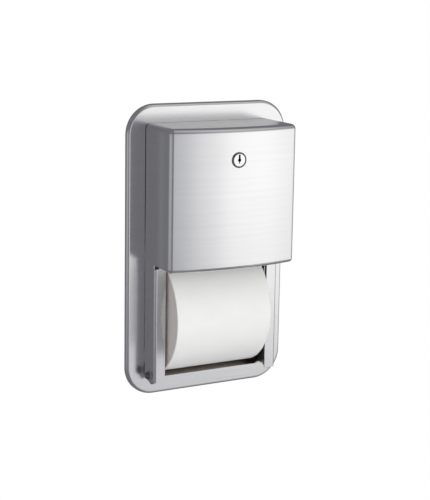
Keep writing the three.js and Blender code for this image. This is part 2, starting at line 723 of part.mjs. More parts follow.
function tubeX(innerR, outerR, halfL, z, segments) {
  return turnedX([
    [-halfL, innerR], [-halfL, outerR - 1], [-halfL + 1, outerR], [halfL - 1, outerR],
    [halfL, outerR - 1], [halfL, innerR], [-halfL, innerR],
  ], ROLL_Y, z, segments);
}

function coreTube(z) {
  return turnedX([
    [-ROLL_HALF_L, CORE_R - CORE_WALL], [-ROLL_HALF_L, CORE_R], [ROLL_HALF_L, CORE_R],
    [ROLL_HALF_L, CORE_R - CORE_WALL], [-ROLL_HALF_L, CORE_R - CORE_WALL],
  ], ROLL_Y, z, 48);
}

// ----------------------------------------------------------------- assembly

addPart('wall_flange', wallFlange(), satinSteel);
addPart('cabinet_wrap', cabinetWrap(), cabinetSteel);
addPair('cabinet_side', cabinetSide(), cabinetSteel);
addPair('track_plate', trackPlate(), cabinetSteel);
addPair('hinge_ear', hingeEar(), cabinetSteel);
addPart('lock_strike', lockStrike(), zinc);

const wallInnerX = OPENING_HALF_W - SEAT_GAP;
const tailX = OPENING_HALF_W + CABINET_SHEET + 0.2;
EAR_RIVET_YS.forEach((y, i) => {
  addPair(`ear_rivet_${i + 1}`, rivetX(wallInnerX - EAR_SHEET - 0.2, tailX, y, EAR_RIVET_Z), rivetSteel);
});
TAB_RIVET_ZS.forEach((z, i) => {
  addPair(`track_rivet_${i + 1}`, rivetX(wallInnerX - TRACK_SHEET - 0.2, tailX, TAB_RIVET_Y, z), rivetSteel);
});
const strikeSeat = OPENING_HALF_H - SEAT_GAP - 1.3 - 0.2;
const roofTop = OPENING_HALF_H + CABINET_SHEET + 0.2;
const strikeRivet = rivetZ(STRIKE_RIVET_X, STRIKE_RIVET_Y, strikeSeat, roofTop);
addPair('strike_rivet', strikeRivet, rivetSteel);

addPair('door_pin', doorPin(), rivetSteel);
addPair('inner_washer', washer(EAR_INNER_X + EAR_SHEET + 0.2, DOOR_HALF_W - SHEET - 0.2, 5.6), nylon);
addPair('lever_pin', leverPin(), rivetSteel);

addPart('door_shell', doorShell(), satinSteel);
addPair('outer_washer', washer(DOOR_HALF_W + 0.2, DOOR_HALF_W + 1.1, 5.5), rivetSteel);
addPart('lock_body', lockBody(), chrome);
addPart('lock_nut', lockNut(), zinc);
addPart('lock_plug', lockPlug(), chrome);
addPart('lock_cam', lockCam(), zinc);
addPart('cam_screw', camScrew(), zinc);

addPair('drop_lever', dropLever(), zinc);
addPart('feeler_rod', feelerRod(), zinc);

for (const [place, z] of [['lower', LOWER_ROLL_Z], ['upper', UPPER_ROLL_Z]]) {
  addPart(`${place}_spindle`, spindle(z + SPINDLE_RISE), greyPlastic);
  addPart(`${place}_core`, coreTube(z), cardboard);
  addPart(`${place}_paper`, tubeX(CORE_R + 0.3, ROLL_R, ROLL_HALF_L, z, 72), paper);
}

export default group;
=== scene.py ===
import json
import math
import random

import bmesh
import bpy
from mathutils import Matrix, Vector

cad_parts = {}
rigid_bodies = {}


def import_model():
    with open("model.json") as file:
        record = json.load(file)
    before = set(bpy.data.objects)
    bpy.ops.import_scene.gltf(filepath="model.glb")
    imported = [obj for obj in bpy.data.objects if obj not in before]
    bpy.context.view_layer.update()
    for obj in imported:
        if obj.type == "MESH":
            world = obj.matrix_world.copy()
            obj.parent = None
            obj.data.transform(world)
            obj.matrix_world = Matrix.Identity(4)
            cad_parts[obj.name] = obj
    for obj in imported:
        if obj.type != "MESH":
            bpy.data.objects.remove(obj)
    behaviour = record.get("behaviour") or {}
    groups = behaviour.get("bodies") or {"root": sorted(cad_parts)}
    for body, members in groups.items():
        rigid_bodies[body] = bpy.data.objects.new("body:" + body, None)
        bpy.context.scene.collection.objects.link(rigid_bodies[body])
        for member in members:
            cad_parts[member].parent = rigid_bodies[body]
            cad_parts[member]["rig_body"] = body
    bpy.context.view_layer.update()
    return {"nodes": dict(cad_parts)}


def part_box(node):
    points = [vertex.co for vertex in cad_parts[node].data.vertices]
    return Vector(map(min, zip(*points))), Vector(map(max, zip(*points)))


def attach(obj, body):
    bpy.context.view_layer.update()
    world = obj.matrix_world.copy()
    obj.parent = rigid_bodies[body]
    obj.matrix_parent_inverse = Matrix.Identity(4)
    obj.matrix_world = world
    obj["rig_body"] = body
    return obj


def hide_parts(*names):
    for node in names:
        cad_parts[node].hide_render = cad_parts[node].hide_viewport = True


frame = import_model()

MM = 0.001

# ------------------------------------------------------------------ sizes

door_low, door_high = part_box("door_shell")
flange_low, flange_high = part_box("wall_flange")
roll_low, roll_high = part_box("lower_paper")
core_low, core_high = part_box("lower_core")
lock_low, lock_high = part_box("lock_body")
pin_low, pin_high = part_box("right_door_pin")

SHEET = 1.2 * MM

FLANGE_HALF_W = flange_high.x
FLANGE_HALF_H = flange_high.z
FLANGE_FACE_Y = flange_low.y
FLANGE_CORNER_R = 32 * MM
FLANGE_ROLL_R = 3.4 * MM
FLANGE_GAP_W = 73.1 * MM
FLANGE_GAP_TOP_Z = 137.2 * MM
FLANGE_GAP_BOTTOM_Z = -141 * MM
STEP_RISE = 2 * MM
STEP_SPAN = (65 * MM, 70.5 * MM)

DOOR_HALF_W = door_high.x
# The seam behind the door is drawn this much wider than the CAD leaves it.
SEAM = 0.6 * MM
DOOR_BACK_Y = door_high.y - SEAM
HOOD_FRONT_Y = door_low.y
HOOD_TOP_Z = door_high.z
HOOD_BOTTOM_Z = -11.5 * MM
HOOD_BOW = 9.5 * MM
HOOD_EDGE_R = 5.5 * MM
HOOD_TOP_R = 5.5 * MM
HOOD_HEM_R = 4 * MM
HOOD_LIP = 9 * MM
LIP_RISE = 4 * MM
THROAT_RISE = 7 * MM
BOW_R = (DOOR_HALF_W ** 2 + HOOD_BOW ** 2) / (2 * HOOD_BOW)
BOW_CENTRE_Y = HOOD_FRONT_Y + BOW_R
ARM_FRONT_Y = -31 * MM
ARM_BOTTOM_Z = door_low.z
ARM_RETURN_W = 13 * MM
ARM_BEND_R = 3 * MM
ARM_HEEL_R = 11.4 * MM
ARM_TOP_GAP = 0.5 * MM
WEB_BELOW = 4 * MM
WEB_ABOVE = 8 * MM
RELIEF_R = 1.6 * MM
RELIEF_IN = 1 * MM
CUTTER_REACH = 5 * MM
BLOCK_OVERRUN = 20 * MM
EDGE_BREAK = 0.15 * MM
HINGE_Y = (pin_low.y + pin_high.y) / 2
HINGE_Z = (pin_low.z + pin_high.z) / 2
PIN_HOLE_R = 2.8 * MM

LOCK_Z = (lock_low.z + lock_high.z) / 2
LOCK_HEAD_R = lock_high.x
LOCK_FACE_Y = lock_low.y
LOCK_BACK_Y = lock_high.y
LOCK_HEAD_T = 1.2 * MM
BEZEL_R = 7 * MM
BEZEL_DEPTH = 0.8 * MM
PLUG_FACE_R = 6.7 * MM
BARREL_R = 7.2 * MM
LOCK_HOLE_R = 7.5 * MM
PLUG_R = 5.5 * MM
PLUG_STUB_R = 3.2 * MM
PLUG_STUB_LENGTH = 2 * MM
KEY_SLOT = (2.2 * MM, 5.8 * MM)
KEY_TAIL = (1.2 * MM, 3.8 * MM)
KEY_BULGE_R = 1.9 * MM
KEYWAY_WITHIN_R = 5.3 * MM
BORE_R = 5.8 * MM

ROLL_HALF_L = roll_high.x
ROLL_R = (roll_high.z - roll_low.z) / 2
ROLL_Y = (core_low.y + core_high.y) / 2
CORE_R = core_high.z - (core_low.z + core_high.z) / 2
CORE_WALL = 1 * MM

# ---------------------------------------------------------------- materials


def new_material(name, color, metallic, roughness):
    material = bpy.data.materials.new(name)
    material.use_nodes = True
    shader = material.node_tree.nodes["Principled BSDF"]
    shader.inputs["Base Color"].default_value = (*color, 1)
    shader.inputs["Metallic"].default_value = metallic
    shader.inputs["Roughness"].default_value = roughness
    return material, material.node_tree, shader


def noise(tree, scale, detail=2.0, source="UV"):
    """Noise over the piece's grain map, or over its own space with source="Object"."""
    coords = tree.nodes.new("ShaderNodeTexCoord")
    mapping = tree.nodes.new("ShaderNodeMapping")
    mapping.inputs["Scale"].default_value = scale
    texture = tree.nodes.new("ShaderNodeTexNoise")
    texture.inputs["Scale"].default_value = 1.0
    texture.inputs["Detail"].default_value = detail
    tree.links.new(coords.outputs[source], mapping.inputs["Vector"])
    tree.links.new(mapping.outputs["Vector"], texture.inputs["Vector"])
    return texture.outputs["Fac"]


def spread(tree, value, low, high):
    """Maps a noise value, which stays mostly between 0.3 and 0.7, onto low..high."""
    node = tree.nodes.new("ShaderNodeMapRange")
    node.inputs["From Min"].default_value = 0.3
    node.inputs["From Max"].default_value = 0.7
    node.inputs["To Min"].default_value = low
    node.inputs["To Max"].default_value = high
    tree.links.new(value, node.inputs["Value"])
    return node.outputs["Result"]


def combined(tree, operation, a, b):
    node = tree.nodes.new("ShaderNodeMath")
    node.operation = operation
    for socket, value in zip(node.inputs, (a, b)):
        if isinstance(value, (int, float)):
            socket.default_value = value
        else:
            tree.links.new(value, socket)
    return node.outputs["Value"]


def tinted(tree, factor, dark, light):
    node = tree.nodes.new("ShaderNodeMix")
    node.data_type = "RGBA"
    for socket, value in (("A", dark), ("B", light)):
        for item in node.inputs:
            if item.name == socket and item.type == "RGBA":
                item.default_value = (*value, 1)
    tree.links.new(factor, node.inputs["Factor"])
    return next(item for item in node.outputs if item.type == "RGBA")


def bumped(tree, shader, height, strength, distance):
    node = tree.nodes.new("ShaderNodeBump")
    node.inputs["Strength"].default_value = strength
    node.inputs["Distance"].default_value = distance
    tree.links.new(height, node.inputs["Height"])
    tree.links.new(node.outputs["Normal"], shader.inputs["Normal"])


def brushed_steel(name, dark, light, roughness, grain_depth, anisotropy):
    """Satin sheet: a fine scratch grain along U, broader streaks, and faint handling marks."""
    material, tree, shader = new_material(name, light, 1.0, roughness)
    fine = noise(tree, (16, 1500, 1), 3.0)
    streak = noise(tree, (4, 230, 1), 2.0)
    smudge = noise(tree, (9, 9, 9), 2.0, "Object")
    tone = combined(tree, "ADD", spread(tree, streak, 0.1, 0.4), spread(tree, fine, 0.1, 0.6))
    tree.links.new(tinted(tree, tone, dark, light), shader.inputs["Base Color"])
    scratched = spread(tree, fine, roughness - 0.03, roughness + 0.03)
    gloss = combined(tree, "ADD", scratched, spread(tree, smudge, -0.015, 0.02))
    tree.links.new(gloss, shader.inputs["Roughness"])
    height = combined(tree, "ADD", fine, combined(tree, "MULTIPLY", streak, 0.15))
    bumped(tree, shader, height, 0.35, grain_depth)
    if anisotropy:
        shader.inputs["Anisotropic"].default_value = anisotropy
        shader.inputs["Anisotropic Rotation"].default_value = 0.25
        tangent = tree.nodes.new("ShaderNodeTangent")
        tangent.direction_type = "UV_MAP"
        tangent.uv_map = "grain"
        tree.links.new(tangent.outputs["Tangent"], shader.inputs["Tangent"])
    return material


def bright_plate(name, dark, light, roughness):
    """Plated metal with a light haze and hairline scratches."""
    material, tree, shader = new_material(name, light, 1.0, roughness)
    haze = noise(tree, (160, 160, 160), 3.0, "Object")
    scratch = noise(tree, (60, 2600, 60), 1.0, "Object")
    tree.links.new(tinted(tree, spread(tree, haze, 0, 1), dark, light), shader.inputs["Base Color"])
    tree.links.new(spread(tree, haze, roughness * 0.8, roughness * 1.3), shader.inputs["Roughness"])
    bumped(tree, shader, scratch, 0.2, 0.00001)
    return material


def zinc_plate(name):
    """Zinc-plated steel: mottled grey with a soft grain."""
    material, tree, shader = new_material(name, (0.42, 0.43, 0.44), 0.9, 0.42)
    patch = noise(tree, (240, 240, 240), 3.0, "Object")
    speck = noise(tree, (1500, 1500, 1500), 1.0, "Object")
    color = tinted(tree, spread(tree, patch, 0, 1), (0.33, 0.335, 0.35), (0.52, 0.52, 0.52))
    tree.links.new(color, shader.inputs["Base Color"])
    tree.links.new(spread(tree, patch, 0.34, 0.5), shader.inputs["Roughness"])
    bumped(tree, shader, speck, 0.3, 0.00002)
    return material


def moulded_plastic(name, dark, light, roughness):
    """Moulded plastic with a fine spark-eroded texture."""
    material, tree, shader = new_material(name, light, 0.0, roughness)
    patch = noise(tree, (90, 90, 90), 2.0, "Object")
    texture = noise(tree, (2200, 2200, 2200), 2.0, "Object")
    tree.links.new(tinted(tree, spread(tree, patch, 0, 1), dark, light), shader.inputs["Base Color"])
    tree.links.new(spread(tree, texture, roughness - 0.06, roughness + 0.06), shader.inputs["Roughness"])
    bumped(tree, shader, texture, 0.5, 0.00003)
    return material


def tissue(name, shade=1.0):
    """Tissue face: soft fibres under a shallow embossed pattern."""
    white = tuple(shade * c for c in (0.945, 0.94, 0.925))
    soft = tuple(shade * c for c in (0.905, 0.9, 0.88))
    material, tree, shader = new_material(name, white, 0.0, 0.95)
    shader.inputs["Specular IOR Level"].default_value = 0.15
    shader.inputs["Sheen Weight"].default_value = 0.15
    fibre = noise(tree, (900, 900, 900), 4.0)
    cloud = noise(tree, (40, 40, 40), 2.0)
    coords = tree.nodes.new("ShaderNodeTexCoord")
    dimples = tree.nodes.new("ShaderNodeTexVoronoi")
    dimples.feature = "SMOOTH_F1"
    dimples.inputs["Scale"].default_value = 260
    tree.links.new(coords.outputs["UV"], dimples.inputs["Vector"])
    mottled = combined(tree, "ADD", spread(tree, fibre, 0, 0.5), spread(tree, cloud, 0, 0.5))
    tree.links.new(tinted(tree, mottled, soft, white), shader.inputs["Base Color"])
    height = combined(tree, "ADD", combined(tree, "MULTIPLY", fibre, 0.5), dimples.outputs["Distance"])
    bumped(tree, shader, height, 0.35, 0.00012)
    return material


def wound_edge(name):
    """Roll end: the edges of the wound layers, slightly shaded between them."""
    material, tree, shader = new_material(name, (0.86, 0.83, 0.78), 0.0, 0.97)
    shader.inputs["Specular IOR Level"].default_value = 0.1
    layers = noise(tree, (6, 2400, 1), 2.0)
    bands = noise(tree, (2, 420, 1), 2.0)
    mixed = combined(tree, "ADD", spread(tree, layers, 0, 0.6), spread(tree, bands, 0, 0.4))
    tree.links.new(tinted(tree, mixed, (0.86, 0.8, 0.76), (0.97, 0.92, 0.88)), shader.inputs["Base Color"])
    bumped(tree, shader, layers, 0.6, 0.0002)
    return material


def spiral_board(name):
    """Core board: brown fibres with the darker seams of its spiral winding."""
    material, tree, shader = new_material(name, (0.45, 0.33, 0.21), 0.0, 0.9)
    fibre = noise(tree, (700, 250, 250), 4.0, "Object")
    coords = tree.nodes.new("ShaderNodeTexCoord")
    seam = tree.nodes.new("ShaderNodeTexWave")
    seam.inputs["Scale"].default_value = 6
    seam.inputs["Distortion"].default_value = 0.2
    tree.links.new(coords.outputs["UV"], seam.inputs["Vector"])
    joint = spread(tree, seam.outputs["Fac"], 0.8, 1.1)
    shade = combined(tree, "MULTIPLY", spread(tree, fibre, 0.5, 1), joint)
    tree.links.new(tinted(tree, shade, (0.25, 0.17, 0.1), (0.52, 0.39, 0.26)), shader.inputs["Base Color"])
    bumped(tree, shader, fibre, 0.5, 0.0001)
    return material


SATIN = brushed_steel("satin_steel", (0.79, 0.788, 0.803), (0.866, 0.864, 0.876), 0.21, 0.000006, 0.2)
CABINET = brushed_steel("cabinet_steel", (0.6, 0.55, 0.5), (0.7, 0.65, 0.6), 0.42, 0.00002, 0.0)
RIVET = bright_plate("rivet_steel", (0.5, 0.5, 0.51), (0.66, 0.66, 0.67), 0.3)
CHROME = bright_plate("chrome", (0.8, 0.8, 0.81), (0.92, 0.92, 0.93), 0.18)
BEZEL = bright_plate("bezel_chrome", (0.2, 0.195, 0.19), (0.28, 0.275, 0.27), 0.35)
# Near-black plate for the faces inside the keyway: painted shade for the deep slot, not the plug metal's own
# colour.
KEYWAY_PAINTED_SHADE = bright_plate("keyway", (0.01, 0.01, 0.01), (0.02, 0.02, 0.02), 0.6)
ZINC = zinc_plate("zinc")
NYLON = moulded_plastic("nylon", (0.74, 0.73, 0.7), (0.84, 0.83, 0.79), 0.5)
GREY = moulded_plastic("grey_plastic", (0.22, 0.23, 0.24), (0.3, 0.31, 0.32), 0.48)
PAPER = tissue("paper")
PAPER_EDGE = wound_edge("paper_edge")
BOARD = spiral_board("cardboard")

# ------------------------------------------------------------- mesh helpers


def mesh_object(name, points, faces):
    mesh = bpy.data.meshes.new(name)
    mesh.from_pydata([tuple(p) for p in points], [], faces)
    mesh.validate()
    obj = bpy.data.objects.new(name, mesh)
    bpy.context.scene.collection.objects.link(obj)
    return faced_out(obj)


def faced_out(obj):
    work = bmesh.new()
    work.from_mesh(obj.data)
    bmesh.ops.recalc_face_normals(work, faces=work.faces)
    work.to_mesh(obj.data)
    work.free()
    return obj


def lofted(name, rings):
    """Skins a stack of equal-count outlines and closes both ends."""
    count = len(rings[0])
    points = [p for ring in rings for p in ring]
    faces = []
    for low in range(0, len(points) - count, count):
        for i in range(count):
            j = (i + 1) % count
            faces.append((low + i, low + j, low + count + j, low + count + i))
    faces.append(tuple(range(count)))
    faces.append(tuple(range(len(points) - count, len(points))))
    return mesh_object(name, points, faces)


def block(name, x0, x1, y0, y1, z0, z1):
    outline = lambda z: [(x0, y0, z), (x1, y0, z), (x1, y1, z), (x0, y1, z)]
    return lofted(name, [outline(z0), outline(z1)])


def round_bar(name, radius, start, axis, length, segments=48):
    """A round cutter along the X or Y axis, from its start point."""
    rings = []
    for step in (0, length):
        ring = []
        for i in range(segments):
            u = radius * math.cos(2 * math.pi * i / segments)
            v = radius * math.sin(2 * math.pi * i / segments)
            offset = (step, u, v) if axis == "X" else (u, step, v)
            ring.append(tuple(a + b for a, b in zip(start, offset)))
        rings.append(ring)
    return lofted(name, rings)


def turned(name, profile, axis, centre, segments=96):
    """Turns [distance along the axis, radius] pairs about an X or Y axis; the profile is a closed loop."""
    points = []
    faces = []
    count = len(profile)
    for i in range(segments):
        angle = 2 * math.pi * i / segments
        for along, radius in profile:
            u = radius * math.cos(angle)
            v = radius * math.sin(angle)
            if axis == "X":
                points.append((along, centre[1] + u, centre[2] + v))
            else:
                points.append((centre[0] + u, along, centre[2] + v))
    for i in range(segments):
        here = i * count
        there = ((i + 1) % segments) * count
        for k in range(count):
            nxt = (k + 1) % count
            faces.append((here + k, here + nxt, there + nxt, there + k))
    return mesh_object(name, points, faces)


def applied(obj):
    graph = bpy.context.evaluated_depsgraph_get()
    mesh = bpy.data.meshes.new_from_object(obj.evaluated_get(graph), depsgraph=graph)
    obj.modifiers.clear()
    obj.data = mesh
    return obj


def boolean(obj, operation, other):
    modifier = obj.modifiers.new("boolean", "BOOLEAN")
    modifier.operation = operation
    modifier.solver = "EXACT"
    modifier.object = other
    applied(obj)
    bpy.data.objects.remove(other)
    return obj


def cut(obj, *others):
    for other in others:
        boolean(obj, "DIFFERENCE", other)
    return obj


def joined(obj, *others):
    for other in others:
        boolean(obj, "UNION", other)
    return obj


def merged_flats(obj, angle=0.05):
    work = bmesh.new()
    work.from_mesh(obj.data)
    bmesh.ops.remove_doubles(work, verts=work.verts, dist=0.000002)
    bmesh.ops.dissolve_limit(
        work, angle_limit=math.radians(angle), verts=work.verts, edges=work.edges,
        use_dissolve_boundaries=False,
    )
    work.to_mesh(obj.data)
    work.free()
    return obj


def grain_map(obj):
    """UVs in metres, U along the brushing: across the front, front to back on the sides, along X on top."""
    mesh = obj.data
    layer = mesh.uv_layers.get("grain") or mesh.uv_layers.new(name="grain")
    for polygon in mesh.polygons:
        nx, ny, nz = (abs(c) for c in polygon.normal)
        for loop in polygon.loop_indices:
            x, y, z = mesh.vertices[mesh.loops[loop].vertex_index].co
            if nx > max(ny, nz):
                layer.data[loop].uv = (y, z)
            elif ny > nz:
                layer.data[loop].uv = (x, z)
            else:
                layer.data[loop].uv = (x, y)
    return obj


def smoothed(obj, bevel=0.0, sharp=30):
    """Breaks the sharp edges with a small bevel and leans the shading normals on the larger faces."""
    if bevel:
        modifier = obj.modifiers.new("edge", "BEVEL")
        modifier.width = bevel
        modifier.segments = 2
        modifier.limit_method = "ANGLE"
        modifier.angle_limit = math.radians(40)
        applied(obj)
    obj.data.shade_smooth()
    obj.data.set_sharp_from_angle(angle=math.radians(sharp))
    modifier = obj.modifiers.new("shading", "WEIGHTED_NORMAL")
    modifier.keep_sharp = True
    modifier.weight = 90
    applied(obj)
    return obj


def placed(obj, body, slot, material, *nodes):
    """Gives a finished piece its material and body, and hides the CAD nodes that it stands for; slot is not
    used.
    """
    if not obj.data.uv_layers:
        grain_map(obj)
    if not obj.data.materials:
        obj.data.materials.append(material)
    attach(obj, body)
    if nodes:
        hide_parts(*nodes)
    return obj


# ----------------------------------------------------------------- the door


def plan_ring(inset, z, back_y):
    """Plan outline of the hood at one height: straight sides, rounded corners and a bowed front."""
    half = DOOR_HALF_W - inset
    bow = BOW_R - inset
    r = max(HOOD_EDGE_R - inset, 0.4 * MM)
    cx = half - r
    cy = BOW_CENTRE_Y - math.sqrt((bow - r) ** 2 - cx ** 2)
    lean = math.atan2(cx, BOW_CENTRE_Y - cy)
    corner_steps = 14
    bow_steps = 64
    corner = []
    for i in range(corner_steps + 1):
        angle = (i / corner_steps) * (math.pi / 2 - lean)
        corner.append((cx + r * math.cos(angle), cy - r * math.sin(angle), z))
    front = []
    for i in range(1, bow_steps):
        angle = lean * (1 - 2 * i / bow_steps)
        front.append((bow * math.sin(angle), BOW_CENTRE_Y - bow * math.cos(angle), z))
    mirrored = [(-x, y, z) for x, y, z in reversed(corner)]
    return [(half, back_y, z), *corner, *front, *mirrored, (-half, back_y, z)]


def hood_block(name, inset, back_y):
    rings = []
    hem = HOOD_HEM_R - inset
    top = HOOD_TOP_R - inset
    bends = 12
    for i in range(bends + 1):
        angle = (i / bends) * math.pi / 2
        z = HOOD_BOTTOM_Z + inset + hem * (1 - math.cos(angle))
        rings.append(plan_ring(inset + hem * (1 - math.sin(angle)), z, back_y))
    for i in range(bends + 1):
        angle = (i / bends) * math.pi / 2
        z = HOOD_TOP_Z - inset - top * (1 - math.sin(angle))
        rings.append(plan_ring(inset + top * (1 - math.cos(angle)), z, back_y))
    return lofted(name, rings)


def door_arm(name, side):
    """Side plate with its front edge bent inward, from below the hood's hem to the hinge."""
    x = DOOR_HALF_W
    t = SHEET
    r = ARM_BEND_R
    outline = [(x - ARM_RETURN_W, ARM_FRONT_Y + t), (x - ARM_RETURN_W, ARM_FRONT_Y)]
    steps = 10
    for i in range(steps + 1):
        angle = -math.pi / 2 + (i / steps) * math.pi / 2
        outline.append((x - r + r * math.cos(angle), ARM_FRONT_Y + r + r * math.sin(angle)))
    outline.append((x, DOOR_BACK_Y))
    outline.append((x - t, DOOR_BACK_Y))
    for i in range(steps + 1):
        angle = -(i / steps) * math.pi / 2
        outline.append((x - r + (r - t) * math.cos(angle), ARM_FRONT_Y + r + (r - t) * math.sin(angle)))
    top_z = HOOD_BOTTOM_Z - ARM_TOP_GAP
    rings = [[(side * px, py, z) for px, py in outline] for z in (ARM_BOTTOM_Z, top_z)]
    arm = lofted(name, rings)
    inner, outer = sorted((side * (x - t), side * x))
    web_low = HOOD_BOTTOM_Z - WEB_BELOW
    web_high = HOOD_BOTTOM_Z + WEB_ABOVE
    joined(arm, block("web", inner, outer, ARM_FRONT_Y + r, DOOR_BACK_Y, web_low, web_high))
    reach = CUTTER_REACH
    pin_hole = round_bar("pin_hole", PIN_HOLE_R, (side * x - reach, HINGE_Y, HINGE_Z), "X", 2 * reach)
    relief_at = (side * x - reach, ARM_FRONT_Y + RELIEF_IN, HOOD_BOTTOM_Z - RELIEF_IN)
    relief = round_bar("relief", RELIEF_R, relief_at, "X", 2 * reach, 24)
    near, far = sorted((side * (x - reach), side * (x + reach)))
    heel = block("heel", near, far, HINGE_Y, DOOR_BACK_Y + reach, ARM_BOTTOM_Z - 1 * MM, HINGE_Z)
    cut(heel, round_bar("heel_round", ARM_HEEL_R, (near - 1 * MM, HINGE_Y, HINGE_Z), "X", 12 * MM, 96))
    return cut(arm, pin_hole, relief, heel)


def door_shell():
    t = SHEET
    behind = DOOR_BACK_Y + BLOCK_OVERRUN
    below = HOOD_BOTTOM_Z - 2 * MM
    hood = hood_block("door_sheet", 0, DOOR_BACK_Y)
    hollow = hood_block("hollow", t, behind)
    lip = lofted("lip", [plan_ring(HOOD_LIP, z, behind) for z in (below, HOOD_BOTTOM_Z + LIP_RISE)])
    inner = DOOR_HALF_W - t
    throat_top = HOOD_BOTTOM_Z + THROAT_RISE
    throat = block("throat", -inner, inner, ARM_FRONT_Y + t, behind, below, throat_top)
    lock_from = (0, HOOD_FRONT_Y - CUTTER_REACH, LOCK_Z)
    lock_hole = round_bar("lock_hole", LOCK_HOLE_R, lock_from, "Y", 13 * MM)
    cut(hood, hollow, lip, throat, lock_hole)
    joined(hood, door_arm("right_arm", 1), door_arm("left_arm", -1))
    merged_flats(hood)
    return smoothed(hood, EDGE_BREAK)


placed(door_shell(), "door", "satin_steel", SATIN, "door_shell")

# --------------------------------------------------------------- the flange


def flange_ring(inset, y):
    half_w = FLANGE_HALF_W - inset
    half_h = FLANGE_HALF_H - inset
    r = FLANGE_CORNER_R - inset
    steps = 24
    ring = []
    for quarter, (sx, sz) in enumerate([(1, 1), (-1, 1), (-1, -1), (1, -1)]):
        for i in range(steps + 1):
            angle = (quarter + i / steps) * math.pi / 2
            ring.append((sx * (half_w - r) + r * math.cos(angle), y, sz * (half_h - r) + r * math.sin(angle)))
    return ring


def flange_dish(name, inset, face_y, roll_r, back_y):
    rings = []
    bends = 10
    for i in range(bends + 1):
        angle = (i / bends) * math.pi / 2
        along = roll_r * (1 - math.sin(angle))
        back = roll_r * (1 - math.cos(angle))
        rings.append(flange_ring(inset + along, face_y + back))
    rings.append(flange_ring(inset, back_y))
    return lofted(name, rings)


def wall_flange():
    t = SHEET
    skin = flange_dish("flange_sheet", 0, FLANGE_FACE_Y, FLANGE_ROLL_R, 0)
    pocket = flange_dish("pocket", t, FLANGE_FACE_Y + t, FLANGE_ROLL_R - t, 1 * MM)
    w = FLANGE_GAP_W
    sill = FLANGE_GAP_BOTTOM_Z
    opening = block("opening", -w, w, -10 * MM, 10 * MM, sill, FLANGE_GAP_TOP_Z)
    cut(skin, pocket, opening)
    for side in (1, -1):
        x0, x1 = sorted(side * x for x in STEP_SPAN)
        step = block("step", x0, x1, FLANGE_FACE_Y, FLANGE_FACE_Y + t, sill - 1 * MM, sill + STEP_RISE)
        joined(skin, step)
    merged_flats(skin)
    return smoothed(skin, 0.12 * MM)


placed(wall_flange(), "cabinet", "satin_steel", SATIN, "wall_flange")

# ---------------------------------------------------------------- the rolls


def paper_roll(name, centre_z, seed):
    """A wound roll: uneven layer edges at both ends, soft rims and the step of its last sheet."""
    rng = random.Random(seed)
    inner = CORE_R + 0.3 * MM
    rim = 0.9 * MM
    layers = 34
    rim_steps = 4
    span = ROLL_R - rim - inner

    def end_profile():
        points = []
        for i in range(layers + 1):
            sunk = rng.uniform(0.02, 0.3) * MM if 0 < i < layers else 0.05 * MM
            points.append((ROLL_HALF_L - sunk, inner + span * i / layers))
        return points

    def rim_profile():
        points = []
        for i in range(1, rim_steps + 1):
            angle = (i / rim_steps) * math.pi / 2
            points.append((ROLL_HALF_L - rim * (1 - math.cos(angle)), ROLL_R - rim * (1 - math.sin(angle))))
        return points

    right = end_profile() + rim_profile()
    left = [(-x, r) for x, r in reversed(end_profile() + rim_profile())]
    width_steps = 10
    across = []
    for i in range(1, width_steps):
        x = (ROLL_HALF_L - rim) * (1 - 2 * i / width_steps)
        across.append((x, ROLL_R - 0.06 * MM * math.sin(3.1 * i)))
    profile = right + across + left
    tail_angle = math.radians(-128)
    tail_step = 0.22 * MM
    turns = [tail_angle + 2 * math.pi * i / 180 for i in range(180)]
    turns.append(tail_angle + 2 * math.pi - 0.004)
    points = []
    for angle in turns:
        fall = tail_step * (angle - tail_angle) / (2 * math.pi)
        for x, r in profile:
            radius = r - fall * (r - inner) / (ROLL_R - inner)
            points.append((x, ROLL_Y + radius * math.cos(angle), centre_z + radius * math.sin(angle)))
    count = len(profile)
    faces = []
    for i in range(len(turns)):
        here = i * count
        there = ((i + 1) % len(turns)) * count
        for k in range(count):
            nxt = (k + 1) % count
            faces.append((here + k, here + nxt, there + nxt, there + k))
    roll = mesh_object(name, points, faces)
    mesh = roll.data
    mesh.materials.append(PAPER)
    mesh.materials.append(PAPER_EDGE)
    layer = mesh.uv_layers.new(name="grain")
    edge_columns = set(range(layers)) | set(range(count - layers - 1, count - 1))
    for index, polygon in enumerate(mesh.polygons):
        column = index % count
        wound = column in edge_columns
        polygon.material_index = 1 if wound else 0
        for loop in polygon.loop_indices:
            x, y, z = mesh.vertices[mesh.loops[loop].vertex_index].co
            angle = math.atan2(z - centre_z, y - ROLL_Y)
            radius = math.hypot(z - centre_z, y - ROLL_Y)
            layer.data[loop].uv = (angle, radius) if wound else (x, angle * ROLL_R)
    return smoothed(roll, 0.0, 50)


def core_tube(name, centre_z):
    edge = 0.2 * MM
    length = ROLL_HALF_L
    profile = [
        (-length, CORE_R - CORE_WALL + edge), (-length, CORE_R - edge), (-length + edge, CORE_R),
        (length - edge, CORE_R), (length, CORE_R - edge), (length, CORE_R - CORE_WALL + edge),
        (length - edge, CORE_R - CORE_WALL), (-length + edge, CORE_R - CORE_WALL),
    ]
    tube = turned(name, profile, "X", (0, ROLL_Y, centre_z))
    mesh = tube.data
    layer = mesh.uv_layers.new(name="grain")
    for loop in mesh.loops:
        x, y, z = mesh.vertices[loop.vertex_index].co
        angle = math.atan2(z - centre_z, y - ROLL_Y)
        layer.data[loop.index].uv = (x + angle * 0.012, angle * CORE_R)
    return smoothed(tube)


for place, seed in (("lower", 3), ("upper", 8)):
    low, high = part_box(f"{place}_core")
    centre_z = (low.z + high.z) / 2
    body = f"{place}_roll"
    placed(paper_roll(f"{place}_roll_paper", centre_z, seed), body, "paper", PAPER, f"{place}_paper")
    placed(core_tube(f"{place}_roll_core", centre_z), body, "cardboard", BOARD, f"{place}_core")

# ----------------------------------------------------------------- the lock


